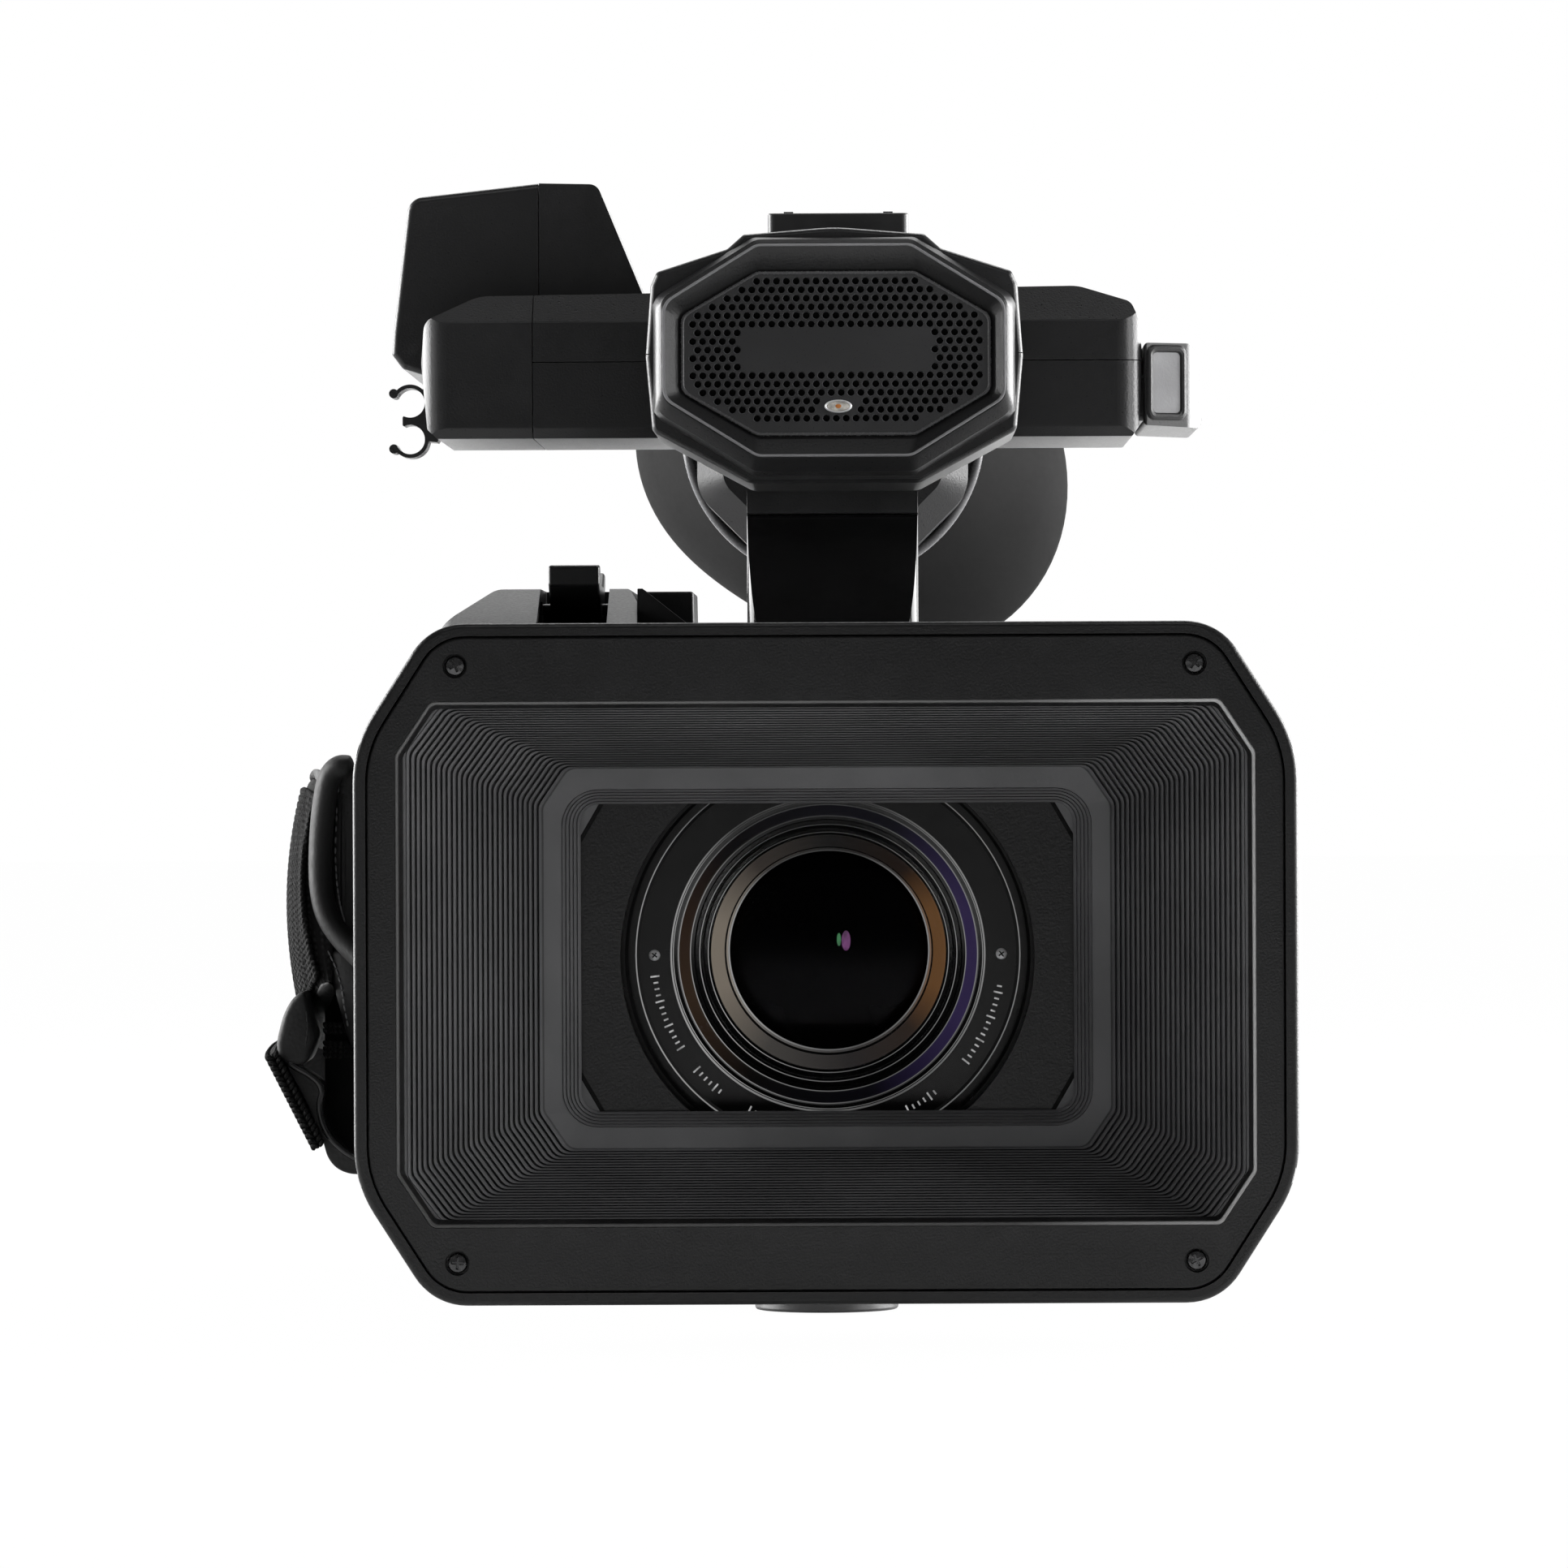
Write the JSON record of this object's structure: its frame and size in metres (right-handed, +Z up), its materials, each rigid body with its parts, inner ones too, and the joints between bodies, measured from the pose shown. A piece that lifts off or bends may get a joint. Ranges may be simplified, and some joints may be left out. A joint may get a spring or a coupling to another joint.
{
  "type": "camcorder",
  "caption": "Handheld camcorder: matte box hood, three-ring zoom lens, boxed body with grip and hand strap, top handle with microphone, sliding monitor, audio box and tilting viewfinder.",
  "frame": {"origin": "mouth of the tripod socket, on the underside of the base plate", "axes": "+Z up, lens looks along -Y, +X towards the control side (the operator's left)"},
  "size_m": [0.1739, 0.346, 0.1972],
  "materials": {
    "case_plastic": "fine matte grain",
    "hood_plastic": "fine matte grain",
    "base_metal": "satin",
    "frame_metal": "satin",
    "screw_steel": "blackened",
    "lens_metal": "satin black",
    "lens_glass": "coated",
    "circuit_board": "satin",
    "fan_plastic": "matte",
    "grille_metal": "matte",
    "lamp_plastic": "clear",
    "socket_metal": "satin",
    "strap_leather": "soft grain",
    "strap_webbing": "ribbed weave",
    "button_plastic": "satin",
    "ring_rubber": "ribbed",
    "record_red": "gloss",
    "flap_rubber": "matte",
    "battery_plastic": "matte",
    "screen_gloss": "gloss",
    "cup_rubber": "soft matte"
  },
  "bodies": {
    "camera_body": {"chassis": "frame_metal", "body_left_cover": "case_plastic", "body_right_cover": "case_plastic", "base_plate": "base_metal", "base_screws": "screw_steel", "rear_panel": "case_plastic", "main_board": "circuit_board", "fan_frame": "fan_plastic", "card_slots": "fan_plastic", "lens_barrel": "lens_metal", "name_ring": "lens_metal", "front_cell": "lens_metal", "front_element": "lens_glass", "sensor_board": "circuit_board", "handle_front_leg": "case_plastic", "handle_lower_shell": "case_plastic", "handle_upper_shell": "case_plastic", "mic_bezel": "case_plastic", "mic_grille": "grille_metal", "tally_lamp": "lamp_plastic", "accessory_shoe": "frame_metal", "audio_cover": "case_plastic", "xlr_sockets": "socket_metal", "cable_clamp": "case_plastic", "evf_yoke": "frame_metal", "strap_pad": "strap_leather", "strap_webbing": "strap_webbing"},
    "hood": {"hood_shell": "hood_plastic", "hood_frame": "hood_plastic", "hood_baffle": "hood_plastic", "hood_frame_screws": "screw_steel"},
    "hood_release": {"hood_release": "button_plastic"},
    "focus_ring": {"focus_ring": "ring_rubber"},
    "zoom_ring": {"zoom_ring": "ring_rubber"},
    "iris_ring": {"iris_ring": "ring_rubber"},
    "zoom_carriage": {"zoom_carriage": "lens_metal", "zoom_lens": "lens_glass"},
    "nd_wheel": {"nd_wheel": "fan_plastic"},
    "nd_switch": {"nd_switch": "button_plastic"},
    "fan_rotor": {"fan_rotor": "fan_plastic"},
    "user_button_1": {"user_button_1": "button_plastic"},
    "user_button_2": {"user_button_2": "button_plastic"},
    "audio_dial_1": {"audio_dial_1": "button_plastic"},
    "audio_dial_2": {"audio_dial_2": "button_plastic"},
    "jog_dial": {"jog_dial": "button_plastic"},
    "zoom_rocker": {"zoom_rocker": "button_plastic"},
    "record_button": {"record_button": "record_red"},
    "power_switch": {"power_switch": "button_plastic"},
    "handle_zoom_rocker": {"handle_zoom_rocker": "button_plastic"},
    "handle_record_button": {"handle_record_button": "record_red"},
    "card_door": {"card_door": "case_plastic"},
    "terminal_flap": {"terminal_flap": "flap_rubber"},
    "battery": {"battery": "battery_plastic"},
    "battery_release": {"battery_release": "button_plastic"},
    "monitor": {"monitor_panel": "case_plastic", "monitor_screen": "screen_gloss"},
    "viewfinder": {"evf_housing": "case_plastic", "eyepiece_lens": "lens_glass", "eyecup": "cup_rubber"},
    "dioptre_dial": {"dioptre_dial": "button_plastic"}
  },
  "joints": [
    {"name": "hood_slide", "type": "slide", "parent": "camera_body", "child": "hood", "axis": [0, -1, 0], "range_m": [0, 0.03]},
    {"name": "hood_release_press", "type": "slide", "parent": "hood", "child": "hood_release", "axis": [-1, 0, 0], "range_m": [0, 0.0008], "stiffness_N_per_m": 400},
    {"name": "focus_turn", "type": "hinge", "parent": "camera_body", "child": "focus_ring", "pos_m": [0, -0.073, 0.061], "axis": [0, 1, 0], "continuous": true},
    {"name": "zoom_turn", "type": "hinge", "parent": "camera_body", "child": "zoom_ring", "pos_m": [0, -0.04775, 0.061], "axis": [0, 1, 0], "range_deg": [0, 90]},
    {"name": "iris_turn", "type": "hinge", "parent": "camera_body", "child": "iris_ring", "pos_m": [0, -0.0295, 0.061], "axis": [0, 1, 0], "continuous": true},
    {"name": "zoom_carriage_slide", "type": "slide", "parent": "camera_body", "child": "zoom_carriage", "axis": [0, 1, 0], "range_m": [0, 0.0341]},
    {"name": "nd_wheel_turn", "type": "hinge", "parent": "camera_body", "child": "nd_wheel", "pos_m": [0.013, 0.015, 0.061], "axis": [0, 1, 0], "range_deg": [0, 270.1]},
    {"name": "nd_switch_slide", "type": "slide", "parent": "camera_body", "child": "nd_switch", "axis": [0, 1, 0], "range_m": [0, 0.009]},
    {"name": "fan_spin", "type": "hinge", "parent": "camera_body", "child": "fan_rotor", "pos_m": [0.045, 0.073, 0.079], "axis": [1, 0, 0], "continuous": true},
    {"name": "user_button_1_press", "type": "slide", "parent": "camera_body", "child": "user_button_1", "axis": [-1, 0, 0], "range_m": [0, 0.0005], "stiffness_N_per_m": 500},
    {"name": "user_button_2_press", "type": "slide", "parent": "camera_body", "child": "user_button_2", "axis": [-1, 0, 0], "range_m": [0, 0.0005], "stiffness_N_per_m": 500},
    {"name": "audio_dial_1_turn", "type": "hinge", "parent": "camera_body", "child": "audio_dial_1", "pos_m": [0.06, 0.094, 0.084], "axis": [1, 0, 0], "range_deg": [-140, 140]},
    {"name": "audio_dial_2_turn", "type": "hinge", "parent": "camera_body", "child": "audio_dial_2", "pos_m": [0.06, 0.094, 0.066], "axis": [1, 0, 0], "range_deg": [-140, 140]},
    {"name": "jog_turn", "type": "hinge", "parent": "camera_body", "child": "jog_dial", "pos_m": [0.06, 0.014, 0.04], "axis": [1, 0, 0], "continuous": true},
    {"name": "zoom_rocker_tilt", "type": "hinge", "parent": "camera_body", "child": "zoom_rocker", "pos_m": [-0.0457, 0.04, 0.1204], "axis": [1, 0, 0], "range_deg": [-6, 6], "stiffness_Nm_per_rad": 0.05},
    {"name": "record_button_press", "type": "slide", "parent": "camera_body", "child": "record_button", "axis": [0, -1, 0], "range_m": [0, 0.001], "stiffness_N_per_m": 500},
    {"name": "power_switch_turn", "type": "hinge", "parent": "camera_body", "child": "power_switch", "pos_m": [-0.0556, 0.1134, 0.092], "axis": [0, 1, 0], "range_deg": [-20, 20]},
    {"name": "handle_zoom_rocker_tilt", "type": "hinge", "parent": "camera_body", "child": "handle_zoom_rocker", "pos_m": [0.00145, -0.013, 0.1776], "axis": [1, 0, 0], "range_deg": [-6, 6], "stiffness_Nm_per_rad": 0.05},
    {"name": "handle_record_press", "type": "slide", "parent": "camera_body", "child": "handle_record_button", "axis": [0, 0, -1], "range_m": [0, 0.0008], "stiffness_N_per_m": 500},
    {"name": "card_door_swing", "type": "hinge", "parent": "camera_body", "child": "card_door", "pos_m": [0.059, 0.084, 0.0289], "axis": [0, 1, 0], "range_deg": [0, 110]},
    {"name": "terminal_flap_swing", "type": "hinge", "parent": "camera_body", "child": "terminal_flap", "pos_m": [0.0526, 0.1234, 0.038], "axis": [0, 0, 1], "range_deg": [-120, 0]},
    {"name": "battery_slide", "type": "slide", "parent": "camera_body", "child": "battery", "axis": [0, 0, 1], "range_m": [0, 0.014]},
    {"name": "battery_release_press", "type": "slide", "parent": "camera_body", "child": "battery_release", "axis": [0, -1, 0], "range_m": [0, 0.001], "stiffness_N_per_m": 500},
    {"name": "monitor_slide", "type": "slide", "parent": "camera_body", "child": "monitor", "axis": [1, 0, 0], "range_m": [0, 0.076]},
    {"name": "viewfinder_tilt", "type": "hinge", "parent": "camera_body", "child": "viewfinder", "pos_m": [0.0009, 0.137, 0.176], "axis": [1, 0, 0], "range_deg": [0, 60]},
    {"name": "dioptre_turn", "type": "hinge", "parent": "viewfinder", "child": "dioptre_dial", "pos_m": [0.028, 0.162, 0.157], "axis": [1, 0, 0], "range_deg": [-60, 60]}
  ],
  "couplings": [
    {"joint": "zoom_carriage_slide", "follows": "zoom_turn", "m_per_rad": 0.021645},
    {"joint": "nd_wheel_turn", "follows": "nd_switch_slide", "rad_per_m": 523.6}
  ]
}
